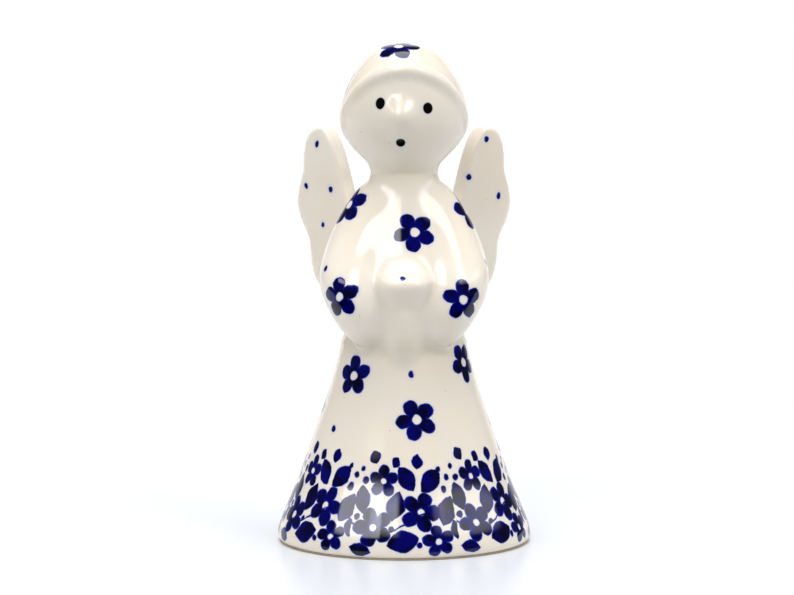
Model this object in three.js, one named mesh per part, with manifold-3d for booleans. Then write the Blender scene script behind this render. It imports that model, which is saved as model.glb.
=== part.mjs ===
// Angel figurine of slip-cast, glazed stoneware: a hollow bell of a skirt, a torso with two full sleeves
// meeting at the hands, a round head in a hood, and two feathered wings luted to the back.
// Millimetres, +Z up, the face towards -Y. The origin is on the floor, under the middle of the hem.
import * as THREE from 'three';
import { mergeVertices } from 'three/addons/utils/BufferGeometryUtils.js';
import Module from 'manifold-3d';

const wasm = await Module();
wasm.setup();

// Skirt and foot
const HEM_RADIUS = 35.7;
const HEM_EDGE_HEIGHT = 2.2; // top of the upright edge, above the floor
const HEM_ROLL_HEIGHT = 8; // height at which the rounded hem has run out into the cone
const HEM_ROLL = 1.8; // how far the hem swells out past the start of the cone
const WAIST_RADIUS = 17.7;
const SKIRT_HEIGHT = 57; // floor to the waist, where the torso begins
const FOOT_HEIGHT = 1; // bare rim that the glaze stops short of
const FOOT_INSET = 0.5;
const FOOT_CHAMFER = 0.4;

// Torso and casting
const TORSO_HEIGHT = 47; // waist to neck
const NECK_RADIUS = 9.3;
const WALL = 4; // thickness of the cast wall, measured level
const SEAT_GAP = 0.3; // between two pieces that meet on a curved seat

// Sleeves
const SLEEVE_SPREAD = 12.2; // widest distance of the sleeve's middle from the body's
const SLEEVE_ADVANCE = 14.8; // how far the middle of the cuff comes forward
const SLEEVE_HALF_WIDTH = 11.5; // at the elbow
const SLEEVE_HALF_DEPTH = 12.8;
const SLEEVE_BASE = -0.9; // foot of the hanging cuff, from the waist
const SHOULDER_DROP = 2; // top of the sleeve, below the neck

// Hands, joined under the cuffs
const HANDS_HALF_WIDTH = 9.6;
const HANDS_FRONT = 25.4; // from the body's axis to the foremost point
const HANDS_ROOT = 12; // from the body's axis to the hidden back of the hands
const HANDS_HEIGHT = 24;
const HANDS_BASE = -3; // lower end, from the waist

// Head and hood
const HEAD_HEIGHT = 36; // neck to crown
const HEAD_RADIUS = 18.05; // at the widest
const HEAD_HALF_DEPTH = 17.2;
const FACE_HEIGHT = 31; // neck to the hidden top of the face, inside the hood
const FACE_RADIUS = 17.5;
const HEAD_ROLL = THREE.MathUtils.degToRad(5.5); // tilt of the face and of the hood's brim
const BRIM_RADIUS = 17.4; // arch of the brim
const BRIM_CENTRE_HEIGHT = 12.4; // centre of that arch above the neck
const HOOD_EDGE_DEPTH = 3; // hidden seam of hood and face, in front of the head's middle
const COLLAR_HEIGHT = 4; // full ring of the neck, below the hood

// Face
const NOSE_HEIGHT = 17; // above the neck
const NOSE_REACH = 5.4; // radius over which the nose rises from the face
const NOSE_RISE = 1.7;
const EYE_SPACING = 13.3;
const EYE_HEIGHT = 19.2; // above the neck
const EYE_HALF_WIDTH = 1.25;
const EYE_HALF_HEIGHT = 1.6;
const MOUTH_HEIGHT = 8.7; // above the neck
const MOUTH_HALF_WIDTH = 1.25;
const MOUTH_HALF_HEIGHT = 1.1;
const PIGMENT_DEPTH = 0.9; // of the dabs of colour let into the face

// Wings
const WING_REACH = 30.8; // from the root line to the widest feather
const WING_HEIGHT = 49.2;
const WING_BASE = 9; // lowest point above the waist
const WING_THICKNESS = 5.5;
const WING_EDGE = 2; // rounding of the wing's edges
const WING_ROOT_SPACING = 10; // between the two root lines
const WING_ROOT_DEPTH = 13; // root line behind the body's axis
const WING_ROOT_SINK = 3; // how far the root runs on past its line, into the back
const WING_SWEEP = THREE.MathUtils.degToRad(38);

// Cuts run past what they cut by this much
const OVERRUN = 5;

// Heights of the seams, and of the sleeve between them
const WAIST = SKIRT_HEIGHT;
const NECK = SKIRT_HEIGHT + TORSO_HEIGHT;
const SLEEVE_HEIGHT = TORSO_HEIGHT - SHOULDER_DROP - SLEEVE_BASE;

// Counts of faces and steps
const ROUND_STEPS = 48;
const HEAD_STEPS = 50;
const SLEEVE_STEPS = 26;
const SLEEVE_RINGS = 16;
const HANDS_STEPS = 28;
const WING_CURVE_STEPS = 3; // per point of the outline
const WING_EDGE_STEPS = 2;
const DAB_STEPS = 20;

// Skirt: bend of its flare, as shares of its height and of its drop in radius
const flareShares = { low: { height: 0.33, drop: 0.41 }, high: { height: 0.67, drop: 0.83 } };
const HEM_STEPS = 3;
const FLARE_STEPS = 7;

// Torso: radius as a share of waist over neck, against share of the torso's height
const torsoShares = [
  [1, 0], [0.89, 0.03], [0.87, 0.13], [0.84, 0.32], [0.78, 0.49], [0.68, 0.64],
  [0.48, 0.78], [0.24, 0.88], [0.05, 0.96], [0, 1],
];
const TORSO_STEPS = 9;

// Head and face: radius as a share of the head's or face's own over the neck's,
// against the share of its own height above the neck
const headShares = [
  [0, 0], [0.07, 0.055], [0.28, 0.115], [0.62, 0.2], [0.92, 0.315], [1, 0.43],
  [0.88, 0.575], [0.65, 0.715], [0.4, 0.81], [0.09, 0.905], [-0.16, 0.95], [-0.5, 0.985], [-1.06, 1],
];
const faceShares = [
  [0, 0], [0.07, 0.064], [0.28, 0.134], [0.63, 0.235], [0.94, 0.36], [1, 0.45],
  [0.95, 0.548], [0.8, 0.645], [0.59, 0.742], [0.36, 0.82], [0.11, 0.89], [-0.25, 0.95], [-1.13, 1],
];
const HEAD_RINGS = 18;

// Sleeve, from the foot of the cuff to the shoulder: share of its height, then shares of the
// spread, the advance, the width and the depth of its level section there
const sleeveShares = [
  { height: 0, out: 0.84, front: 0.98, wide: 0.08, deep: 0.08 },
  { height: 0.02, out: 0.84, front: 0.98, wide: 0.27, deep: 0.27 },
  { height: 0.06, out: 0.86, front: 0.98, wide: 0.44, deep: 0.44 },
  { height: 0.135, out: 0.9, front: 0.96, wide: 0.64, deep: 0.65 },
  { height: 0.22, out: 0.94, front: 0.91, wide: 0.81, deep: 0.82 },
  { height: 0.31, out: 0.98, front: 0.81, wide: 0.93, deep: 0.94 },
  { height: 0.4, out: 1, front: 0.68, wide: 0.99, deep: 1 },
  { height: 0.49, out: 0.98, front: 0.51, wide: 0.98, deep: 0.98 },
  { height: 0.6, out: 0.93, front: 0.34, wide: 0.92, deep: 0.9 },
  { height: 0.75, out: 0.8, front: 0.19, wide: 0.78, deep: 0.77 },
  { height: 0.9, out: 0.67, front: 0.12, wide: 0.55, deep: 0.57 },
  { height: 0.97, out: 0.64, front: 0.1, wide: 0.32, deep: 0.34 },
  { height: 1, out: 0.63, front: 0.1, wide: 0.08, deep: 0.08 },
];

// Hands: shares of height, of half width, and of the way from the root to the front
const handsShares = [
  { height: 0, width: 0.5, front: 0.5 },
  { height: 0.06, width: 0.6, front: 0.57 },
  { height: 0.22, width: 0.7, front: 0.7 },
  { height: 0.4, width: 0.84, front: 0.85 },
  { height: 0.56, width: 0.95, front: 0.95 },
  { height: 0.7, width: 1, front: 1 },
  { height: 0.8, width: 0.98, front: 0.95 },
  { height: 0.89, width: 0.88, front: 0.78 },
  { height: 0.96, width: 0.68, front: 0.55 },
  { height: 1, width: 0.42, front: 0.36 },
];
const HANDS_RINGS = 14;
// Exponents of the rounded level sections, 2 being an ellipse and more being squarer
const HANDS_SQUARENESS = 2.9;
const SLEEVE_SQUARENESS = 2.1;

// Wing outline, from the foot of the root round the three feathers to the top of the root:
// shares of the reach and of the height
const wingShares = [
  [0.2, 0.015], [0.4, 0], [0.58, 0.015], [0.735, 0.07], [0.815, 0.15], [0.845, 0.235],
  [0.848, 0.31], [0.89, 0.378], [0.956, 0.447], [0.995, 0.52], [1, 0.59], [0.97, 0.663],
  [0.934, 0.728], [0.93, 0.79], [0.92, 0.86], [0.885, 0.94], [0.815, 0.985], [0.735, 1],
  [0.655, 0.975], [0.565, 0.885], [0.485, 0.75], [0.42, 0.62], [0.31, 0.51], [0.16, 0.44],
];
const WING_ROOT_FOOT_SHARE = 0.04;
const WING_ROOT_TOP_SHARE = 0.41;

// Finishes
const glaze = new THREE.MeshStandardMaterial({ color: 0xeee6da, roughness: 0.08, metalness: 0 });
const bareClay = new THREE.MeshStandardMaterial({ color: 0xc8ad90, roughness: 0.9, metalness: 0 });
const pigment = new THREE.MeshStandardMaterial({ color: 0x0b0b14, roughness: 0.1, metalness: 0 });

// Shared vertices merged and empty triangles left out, so that the skin is closed
function weld(geometry) {
  const bare = geometry.clone();
  bare.deleteAttribute('normal');
  bare.deleteAttribute('uv');
  const merged = mergeVertices(bare);
  const index = merged.index.array;
  const kept = [];
  for (let i = 0; i < index.length; i += 3) {
    const [a, b, c] = [index[i], index[i + 1], index[i + 2]];
    if (a !== b && b !== c && c !== a) {
      kept.push(a, b, c);
    }
  }
  merged.setIndex(kept);
  return merged;
}

function toSolid(geometry) {
  const welded = weld(geometry);
  const vertProperties = new Float32Array(welded.attributes.position.array);
  const triVerts = new Uint32Array(welded.index.array);
  return new wasm.Manifold(new wasm.Mesh({ numProp: 3, vertProperties, triVerts }));
}

function toGeometry(solid) {
  const mesh = solid.getMesh();
  const geometry = new THREE.BufferGeometry();
  geometry.setAttribute('position', new THREE.BufferAttribute(new Float32Array(mesh.vertProperties), 3));
  geometry.setIndex(new THREE.BufferAttribute(new Uint32Array(mesh.triVerts), 1));
  geometry.computeVertexNormals();
  return geometry;
}

function named(name, geometry, finish) {
  const mesh = new THREE.Mesh(geometry, finish.clone());
  mesh.name = name;
  return mesh;
}

// A profile of radius and height turned about the upright axis
function turned(profile, steps) {
  return new THREE.LatheGeometry(profile, steps).rotateX(Math.PI / 2);
}

// Closes an outline on the axis at its lower and upper end
function filled(profile) {
  const low = new THREE.Vector2(0, profile[0].y);
  const high = new THREE.Vector2(0, profile[profile.length - 1].y);
  return [low, ...profile, high];
}

// Outer profile of the skirt from a given height up: upright hem, rounded roll, then the flare
function skirtProfile(from) {
  const rollRadius = HEM_RADIUS - HEM_ROLL;
  const rise = WAIST - HEM_ROLL_HEIGHT;
  const drop = rollRadius - WAIST_RADIUS;
  const bend = (share) =>
    new THREE.Vector2(rollRadius - share.drop * drop, HEM_ROLL_HEIGHT + share.height * rise);
  const rollTop = new THREE.Vector2(rollRadius, HEM_ROLL_HEIGHT);
  const edgeTop = new THREE.Vector2(HEM_RADIUS, HEM_EDGE_HEIGHT);
  const slope = flareShares.low.drop * drop / (flareShares.low.height * rise);
  const corner = new THREE.Vector2(HEM_RADIUS, HEM_ROLL_HEIGHT - HEM_ROLL / slope);
  const roll = new THREE.QuadraticBezierCurve(edgeTop, corner, rollTop);
  const waist = new THREE.Vector2(WAIST_RADIUS, WAIST);
  const flare = new THREE.CubicBezierCurve(rollTop, bend(flareShares.low), bend(flareShares.high), waist);
  const edge = new THREE.Vector2(HEM_RADIUS, from);
  return [edge, ...roll.getPoints(HEM_STEPS), ...flare.getPoints(FLARE_STEPS).slice(1)];
}

// Outer profile of the torso from the waist to the neck
function torsoProfile() {
  const spread = WAIST_RADIUS - NECK_RADIUS;
  const points = torsoShares.map(([wide, high]) =>
    new THREE.Vector2(NECK_RADIUS + wide * spread, WAIST + high * TORSO_HEIGHT));
  return new THREE.SplineCurve(points).getPoints(TORSO_STEPS);
}

// Outer profile of the head or of the face, from the neck to its top on the axis
function skullProfile(shares, radius, height) {
  const spread = radius - NECK_RADIUS;
  const points = shares.map(([wide, high]) =>
    new THREE.Vector2(Math.max(NECK_RADIUS + wide * spread, 0), NECK + high * height));
  const profile = new THREE.SplineCurve(points).getPoints(HEAD_RINGS);
  profile[profile.length - 1].x = 0;
  return profile;
}

// The same profile moved outwards, or inwards where the distance is negative
function widened(profile, distance) {
  return profile.map((p) => new THREE.Vector2(Math.max(p.x + distance, 0), p.y));
}

// A closed wall between an outer profile and the same profile moved in by the wall
function wallProfile(outer) {
  const inner = widened(outer, -WALL).reverse();
  return [...outer, ...inner, outer[0].clone()];
}

// Skirt and torso as one solid core that other pieces are seated on
function bodyCore(gap) {
  const outer = [...skirtProfile(0), ...torsoProfile().slice(1)];
  return toSolid(turned(filled(widened(outer, gap)), ROUND_STEPS));
}

// Two triangles over a four-sided gap, split along its shorter diagonal
function patch(points, a, b, c, d) {
  const straight = points[a].distanceTo(points[c]) <= points[b].distanceTo(points[d]);
  return straight ? [a, b, c, a, c, d] : [a, b, d, b, c, d];
}

// Rings of points joined into one closed skin with a fan over each end
function loft(rings) {
  const count = rings[0].length;
  const points = rings.flat();
  const middle = (ring) => ring.reduce((sum, p) => sum.add(p), new THREE.Vector3()).divideScalar(count);
  points.push(middle(rings[0]), middle(rings[rings.length - 1]));
  const first = points.length - 2;
  const last = points.length - 1;
  const index = [];
  for (let j = 0; j < count; j += 1) {
    const k = (j + 1) % count;
    index.push(first, k, j);
    for (let i = 0; i < rings.length - 1; i += 1) {
      const low = i * count;
      const high = low + count;
      index.push(...patch(points, low + j, low + k, high + k, high + j));
    }
    const end = (rings.length - 1) * count;
    index.push(last, end + j, end + k);
  }
  const geometry = new THREE.BufferGeometry().setFromPoints(points);
  geometry.setIndex(index);
  return geometry;
}

// A value at a place along evenly spaced stations, smoothed by a curve through them
function along(values, t) {
  const curve = new THREE.SplineCurve(values.map((value, i) => new THREE.Vector2(i, value)));
  return curve.getPoint(t).y;
}

// Bare rim that the figurine stands on, chamfered on its outer edge
function footRing() {
  const outer = HEM_RADIUS - FOOT_INSET;
  const inner = HEM_RADIUS - WALL;
  const profile = [
    new THREE.Vector2(inner, 0),
    new THREE.Vector2(outer - FOOT_CHAMFER, 0),
    new THREE.Vector2(outer, FOOT_CHAMFER),
    new THREE.Vector2(outer, FOOT_HEIGHT),
    new THREE.Vector2(inner, FOOT_HEIGHT),
    new THREE.Vector2(inner, 0),
  ];
  return named('foot_ring', turned(profile, ROUND_STEPS), bareClay);
}

function skirt() {
  return named('skirt', turned(wallProfile(skirtProfile(FOOT_HEIGHT)), ROUND_STEPS), glaze);
}

function torso() {
  return named('torso', turned(wallProfile(torsoProfile()), ROUND_STEPS), glaze);
}

// One level section: a rounded ring about a place, ready for the loft
function levelRing(x, y, height, halfWidth, halfDepth, steps, squareness) {
  const power = 2 / squareness;
  const bulge = (value) => Math.sign(value) * Math.abs(value) ** power;
  const ring = [];
  for (let j = 0; j < steps; j += 1) {
    const angle = 2 * Math.PI * j / steps;
    const across = x + halfWidth * bulge(Math.cos(angle));
    const deep = y + halfDepth * bulge(Math.sin(angle));
    ring.push(new THREE.Vector3(across, deep, height));
  }
  return ring;
}

// Hands: level sections stacked from under the cuffs up to the ridge, standing out from the core
function handsSolid(gap) {
  const rings = [];
  for (let i = 0; i <= HANDS_RINGS; i += 1) {
    const t = i / HANDS_RINGS;
    const at = (key) => along(handsShares.map((share) => share[key]), t);
    const halfWidth = HANDS_HALF_WIDTH * at('width') + gap;
    const halfDepth = (HANDS_FRONT - HANDS_ROOT) * at('front') + gap;
    const height = WAIST + HANDS_BASE + HANDS_HEIGHT * at('height') + gap * (2 * t - 1);
    rings.push(levelRing(0, -HANDS_ROOT, height, halfWidth, halfDepth, HANDS_STEPS, HANDS_SQUARENESS));
  }
  return toSolid(loft(rings));
}

function hands(core) {
  return named('hands', toGeometry(handsSolid(0).subtract(core)), glaze);
}

// Sleeve: level sections that widen from the shoulder to the elbow, move forward as they go
// down and close under the hanging cuff
function sleeveSolid(side) {
  const rings = [];
  for (let i = 0; i <= SLEEVE_RINGS; i += 1) {
    const at = (key) => along(sleeveShares.map((share) => share[key]), i / SLEEVE_RINGS);
    const x = side * SLEEVE_SPREAD * at('out');
    const y = -SLEEVE_ADVANCE * at('front');
    const height = WAIST + SLEEVE_BASE + SLEEVE_HEIGHT * at('height');
    const halfWidth = SLEEVE_HALF_WIDTH * at('wide');
    const halfDepth = SLEEVE_HALF_DEPTH * at('deep');
    rings.push(levelRing(x, y, height, halfWidth, halfDepth, SLEEVE_STEPS, SLEEVE_SQUARENESS));
  }
  return toSolid(loft(rings));
}

// The space past the figurine's middle, seen from one side
function farSide(side) {
  const size = 2 * (HEM_RADIUS + TORSO_HEIGHT);
  const box = new THREE.BoxGeometry(size, size, size);
  return toSolid(box.translate(-side * (size - SEAT_GAP) / 2, 0, WAIST));
}

function sleeve(name, side, core) {
  const seated = sleeveSolid(side).subtract(core).subtract(handsSolid(SEAT_GAP)).subtract(farSide(side));
  return named(name, toGeometry(seated), glaze);
}

// Wing: its outline extruded to an even thickness with rounded edges, in the wing's own plane,
// x outwards from the root line and y up
function wingSlab() {
  const outline = new THREE.Shape();
  outline.moveTo(-WING_ROOT_SINK, WING_HEIGHT * WING_ROOT_FOOT_SHARE);
  outline.lineTo(0, WING_HEIGHT * WING_ROOT_FOOT_SHARE);
  outline.splineThru(wingShares.map(([out, high]) =>
    new THREE.Vector2(WING_REACH * out, WING_HEIGHT * high)));
  outline.lineTo(-WING_ROOT_SINK, WING_HEIGHT * WING_ROOT_TOP_SHARE);
  outline.closePath();
  const slab = new THREE.ExtrudeGeometry(outline, {
    curveSegments: WING_CURVE_STEPS,
    depth: WING_THICKNESS - 2 * WING_EDGE,
    bevelThickness: WING_EDGE,
    bevelSize: WING_EDGE,
    bevelOffset: -WING_EDGE,
    bevelSegments: WING_EDGE_STEPS,
  });
  return slab.translate(0, 0, WING_EDGE - WING_THICKNESS / 2).rotateX(Math.PI / 2);
}

// A wing stands in its own turned group, and its root is cut to the back in that group's frame
function wing(name, side, core) {
  const place = new THREE.Group();
  place.position.set(side * WING_ROOT_SPACING / 2, WING_ROOT_DEPTH, WAIST + WING_BASE);
  place.rotation.z = side > 0 ? WING_SWEEP : Math.PI - WING_SWEEP;
  place.updateMatrix();
  const inverse = place.matrix.clone().invert();
  const back = toSolid(toGeometry(core).applyMatrix4(inverse));
  place.add(named(name, toGeometry(toSolid(wingSlab()).subtract(back)), glaze));
  return place;
}

// Head and face are rounder across than in depth
function skull(profile, radius) {
  return turned(filled(profile).slice(0, -1), HEAD_STEPS).scale(1, HEAD_HALF_DEPTH / radius, 1);
}

// Depth of the face's surface in front of the body's axis, at a place across and above the neck
function faceDepth(x, height) {
  const profile = skullProfile(faceShares, FACE_RADIUS, FACE_HEIGHT);
  const above = profile.findIndex((p) => p.y > NECK + height);
  const [low, high] = [profile[above - 1], profile[above]];
  const t = (NECK + height - low.y) / (high.y - low.y);
  const radius = low.x + t * (high.x - low.x);
  return Math.sqrt(radius ** 2 - x ** 2) * HEAD_HALF_DEPTH / FACE_RADIUS;
}

// A place on the face, given square to its tilted middle line, turned by the head's roll
function rolled(x, height) {
  const place = new THREE.Vector2(x, height - BRIM_CENTRE_HEIGHT);
  place.rotateAround(new THREE.Vector2(), -HEAD_ROLL);
  return { x: place.x, height: place.y + BRIM_CENTRE_HEIGHT };
}

// Raises a smooth round swelling on a skin, straight out along -Y
function swell(geometry, x, height, reach, rise) {
  const points = geometry.attributes.position;
  for (let i = 0; i < points.count; i += 1) {
    const away = Math.hypot(points.getX(i) - x, points.getZ(i) - NECK - height) / reach;
    if (away < 1 && points.getY(i) < 0) {
      points.setY(i, points.getY(i) - rise * Math.cos(away * Math.PI / 2) ** 2);
    }
  }
  return geometry;
}

// A bar along Y with an oval section, from in front of the figurine back to a given depth
function bar(x, height, halfWidth, halfHeight, depth, steps) {
  const front = -(HEAD_HALF_DEPTH + NOSE_RISE + OVERRUN);
  const back = -depth;
  const length = back - front;
  return toSolid(new THREE.CylinderGeometry(1, 1, length, steps)
    .scale(halfWidth, 1, halfHeight)
    .translate(x, (front + back) / 2, NECK + height));
}

// Space in front of the hood's brim and its flat seam, with the full ring of the neck below.
// The gap is for the arch alone, because the flat seams meet face to face
function faceRegion(gap) {
  const radius = BRIM_RADIUS - gap;
  const arch = bar(0, BRIM_CENTRE_HEIGHT, radius, radius, HOOD_EDGE_DEPTH, ROUND_STEPS);
  const height = COLLAR_HEIGHT + OVERRUN;
  const ring = new THREE.CylinderGeometry(HEAD_RADIUS, HEAD_RADIUS, height, ROUND_STEPS)
    .rotateX(Math.PI / 2)
    .translate(0, 0, NECK - OVERRUN + height / 2);
  return arch.add(toSolid(ring));
}

// Hollow of the head, open through the neck
function headHollow() {
  const inner = widened(skullProfile(faceShares, FACE_RADIUS, FACE_HEIGHT), -WALL);
  const mouth = new THREE.Vector2(NECK_RADIUS - WALL, NECK - OVERRUN);
  return toSolid(skull([mouth, ...inner], FACE_RADIUS));
}

// Hood: the head's round shape above and behind the arch of the brim
function hood(hollow) {
  const whole = toSolid(skull(skullProfile(headShares, HEAD_RADIUS, HEAD_HEIGHT), HEAD_RADIUS));
  return named('hood', toGeometry(whole.subtract(faceRegion(0)).subtract(hollow)), glaze);
}

// Dabs of pigment: places before the head's roll, from the face's middle line and the neck
const eye = { height: EYE_HEIGHT, width: EYE_HALF_WIDTH, tall: EYE_HALF_HEIGHT };
const dabs = [
  { name: 'left_eye', x: EYE_SPACING / 2, ...eye },
  { name: 'right_eye', x: -EYE_SPACING / 2, ...eye },
  { name: 'mouth', x: 0, height: MOUTH_HEIGHT, width: MOUTH_HALF_WIDTH, tall: MOUTH_HALF_HEIGHT },
];

// The bar that a dab of pigment, or the pocket round it, is cut with
function dabBar(dab, gap) {
  const place = rolled(dab.x, dab.height);
  const depth = faceDepth(place.x, place.height) - PIGMENT_DEPTH - gap;
  return bar(place.x, place.height, dab.width + gap, dab.tall + gap, depth, DAB_STEPS);
}

// Skin of the face before its pockets: round cheeks running down to the neck, with a snub nose
function faceSkin() {
  const skin = skull(skullProfile(faceShares, FACE_RADIUS, FACE_HEIGHT), FACE_RADIUS);
  const nose = rolled(0, NOSE_HEIGHT);
  return toSolid(swell(skin, nose.x, nose.height, NOSE_REACH, NOSE_RISE));
}

// Face and neck in one, with a shallow pocket for each dab of pigment
function face(skin, hollow) {
  let solid = skin.intersect(faceRegion(SEAT_GAP)).subtract(hollow);
  for (const dab of dabs) {
    solid = solid.subtract(dabBar(dab, SEAT_GAP));
  }
  return named('face', toGeometry(solid), glaze);
}

function dabMesh(dab, skin) {
  return named(dab.name, toGeometry(skin.intersect(dabBar(dab, 0))), pigment);
}

function buildFigurine() {
  const figurine = new THREE.Group();
  const seat = bodyCore(SEAT_GAP);
  const hollow = headHollow();
  const skin = faceSkin();
  figurine.add(footRing(), skirt(), torso(), hands(seat));
  figurine.add(sleeve('left_sleeve', 1, seat), sleeve('right_sleeve', -1, seat));
  figurine.add(wing('left_wing', 1, seat), wing('right_wing', -1, seat));
  figurine.add(hood(hollow), face(skin, hollow));
  for (const dab of dabs) {
    figurine.add(dabMesh(dab, skin));
  }
  return figurine;
}

export default buildFigurine();
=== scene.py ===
# %% [markdown]
# # A glazed stoneware angel, 14 cm tall
#
# The real figurine is one hollow slip casting with two wings luted to its back. It is dipped in a
# clear glaze, so every edge and crease is rounded, and it is decorated by hand with cobalt stamps.
# This lesson builds the forms one by one, fuses them, rounds their creases as the glaze does, and
# stamps the decoration on with shader nodes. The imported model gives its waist, neck and hem.

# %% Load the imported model
import math

import bpy
import numpy as np
from mathutils import Matrix, Vector


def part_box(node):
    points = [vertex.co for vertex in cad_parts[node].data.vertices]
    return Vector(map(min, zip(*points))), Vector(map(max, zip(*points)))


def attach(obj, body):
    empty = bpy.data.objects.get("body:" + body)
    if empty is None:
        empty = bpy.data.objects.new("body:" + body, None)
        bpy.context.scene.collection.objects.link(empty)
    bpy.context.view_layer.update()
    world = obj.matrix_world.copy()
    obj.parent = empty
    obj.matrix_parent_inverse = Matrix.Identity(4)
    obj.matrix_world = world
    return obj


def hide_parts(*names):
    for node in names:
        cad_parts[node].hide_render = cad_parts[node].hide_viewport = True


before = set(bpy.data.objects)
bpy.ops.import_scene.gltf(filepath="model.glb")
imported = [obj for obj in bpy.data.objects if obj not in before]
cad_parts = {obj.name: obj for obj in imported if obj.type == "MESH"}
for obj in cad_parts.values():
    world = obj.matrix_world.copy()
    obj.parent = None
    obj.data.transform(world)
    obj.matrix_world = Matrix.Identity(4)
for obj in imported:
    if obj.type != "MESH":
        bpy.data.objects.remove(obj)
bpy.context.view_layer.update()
MM = 0.001
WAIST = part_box("torso")[0].z / MM
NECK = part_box("torso")[1].z / MM
print("waist at", round(WAIST, 2), "and neck at", round(NECK, 2))

# %% [markdown]
# ## Camera
#
# The photograph was taken with a long lens from about a metre away, a little above the figurine.
# A long lens keeps the head and the hem in proportion. The focal length comes from the scale of
# the picture, 3.557 pixels to a millimetre at the figurine, so it is worked out, not guessed.

# %% Camera
IMAGE_WIDTH = 794
PIXELS_PER_MM = 3.557
CAMERA_PLACE = Vector((-2, -1000, 175))
CAMERA_AIM = Vector((-2, 0, 68.6))
SENSOR_MM = 36

camera_data = bpy.data.cameras.new("camera")
camera = bpy.data.objects.new("camera", camera_data)
bpy.context.scene.collection.objects.link(camera)
view_line = CAMERA_AIM - CAMERA_PLACE
camera_data.sensor_width = SENSOR_MM
camera_data.lens = PIXELS_PER_MM * view_line.length / IMAGE_WIDTH * SENSOR_MM
camera_data.clip_start = 0.05
camera_data.clip_end = 20
camera.location = CAMERA_PLACE * MM
camera.rotation_mode = "QUATERNION"
camera.rotation_quaternion = view_line.to_track_quat("-Z", "Y")
bpy.context.scene.camera = camera
print("lens", round(camera_data.lens, 1), "mm")

# %% [markdown]
# ## Ways of working
#
# A few small helpers keep the steps below short. An operator acts on whatever is still selected, so
# everything is deselected before a piece is picked. A line is drawn by extruding one vertex again
# and again, as you would with the mouse, and a smooth line needs only a few chosen points.


# %% Helpers for picking
def set_mode(mode):
    """Goes into edit mode, or back to object mode."""
    bpy.ops.object.mode_set(mode=mode)


def deselect_all():
    if bpy.context.object and bpy.context.object.mode != "OBJECT":
        set_mode("OBJECT")
    bpy.ops.object.select_all(action="DESELECT")


def pick(piece):
    """Selects one piece alone and makes it active, as a click on it does."""
    deselect_all()
    piece.select_set(True)
    bpy.context.view_layer.objects.active = piece


def open_whole(piece):
    """Opens a piece in edit mode with all of it selected."""
    pick(piece)
    set_mode("EDIT")
    bpy.ops.mesh.select_all(action="SELECT")


# %% Helpers for drawing
def smooth_line(points, steps):
    """Points on a smooth curve through the given ones, a few steps between each two."""
    ends = [points[0], *points, points[-1]]
    line = []
    for a, b, c, d in zip(ends, ends[1:], ends[2:], ends[3:]):
        for i in range(steps):
            t = i / steps
            line.append([
                0.5 * (2 * q + (r - p) * t + (2 * p - 5 * q + 4 * r - s) * t**2
                       + (3 * q - p - 3 * r + s) * t**3)
                for p, q, r, s in zip(a, b, c, d)
            ])
    return [*line, list(points[-1])]


def draw_line(name, places):
    """A chain of vertices, drawn by extruding one vertex from place to place."""
    deselect_all()
    bpy.ops.mesh.primitive_circle_add(vertices=3, radius=MM, location=Vector(places[0]) * MM)
    drawn = bpy.context.object
    drawn.name = name
    set_mode("EDIT")
    bpy.ops.mesh.merge(type="CENTER")
    for here, there in zip(places, places[1:]):
        step = (Vector(there) - Vector(here)) * MM
        bpy.ops.mesh.extrude_vertices_move(TRANSFORM_OT_translate={"value": step})
    set_mode("OBJECT")
    return drawn


# %% Helpers for solid forms
def settle(piece):
    """Puts the piece's place into its mesh, so that its object sits at the origin."""
    pick(piece)
    bpy.ops.object.transform_apply(location=True, rotation=True, scale=True)
    return piece


def close_skin(piece):
    """Merges doubled vertices, turns every face outwards and says how many faces there are."""
    open_whole(piece)
    bpy.ops.mesh.remove_doubles(threshold=0.001 * MM)
    bpy.ops.mesh.normals_make_consistent(inside=False)
    set_mode("OBJECT")
    print(piece.name, len(piece.data.polygons), "faces")
    return piece


def turned(name, profile, steps):
    """A form thrown on the wheel: a profile of (radius, height) spun about the upright axis."""
    form = settle(draw_line(name, [(radius, 0, height) for radius, height in profile]))
    open_whole(form)
    bpy.ops.mesh.spin(steps=steps, angle=2 * math.pi, center=(0, 0, 0), axis=(0, 0, 1))
    set_mode("OBJECT")
    return close_skin(form)


def stacked(name, sections, steps=3, corners=48, rounding=None):
    """A form built up in level sections of (height, x, y, half width, half depth). Each section is
    an ellipse, or a square with rounded corners where a rounding is given."""
    deselect_all()
    stations = smooth_line(sections, steps)
    height, x, y, wide, deep = stations[0]
    if rounding is None:
        bpy.ops.mesh.primitive_circle_add(vertices=corners, radius=1, fill_type="NGON")
    else:
        bpy.ops.mesh.primitive_plane_add(size=2)
    form = bpy.context.object
    form.name = name
    set_mode("EDIT")
    if rounding is not None:
        bpy.ops.mesh.bevel(affect="VERTICES", offset=rounding, segments=corners // 4, offset_type="OFFSET")
        bpy.ops.mesh.select_all(action="SELECT")
    bpy.ops.transform.resize(value=(wide * MM, deep * MM, 1), center_override=(0, 0, 0))
    bpy.ops.transform.translate(value=Vector((x, y, height)) * MM)
    for old, new in zip(stations, stations[1:]):
        step = Vector((new[1] - old[1], new[2] - old[2], new[0] - old[0])) * MM
        bpy.ops.mesh.extrude_region_move(TRANSFORM_OT_translate={"value": step})
        middle = Vector((new[1], new[2], new[0])) * MM
        bpy.ops.transform.resize(value=(new[3] / old[3], new[4] / old[4], 1), center_override=middle)
    set_mode("OBJECT")
    return close_skin(settle(form))


def apply_modifier(piece, kind, **settings):
    """Adds one modifier with its settings and applies it."""
    pick(piece)
    modifier = piece.modifiers.new(kind.lower(), kind)
    for key, value in settings.items():
        setattr(modifier, key, value)
    bpy.ops.object.modifier_apply(modifier=modifier.name)


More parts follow.
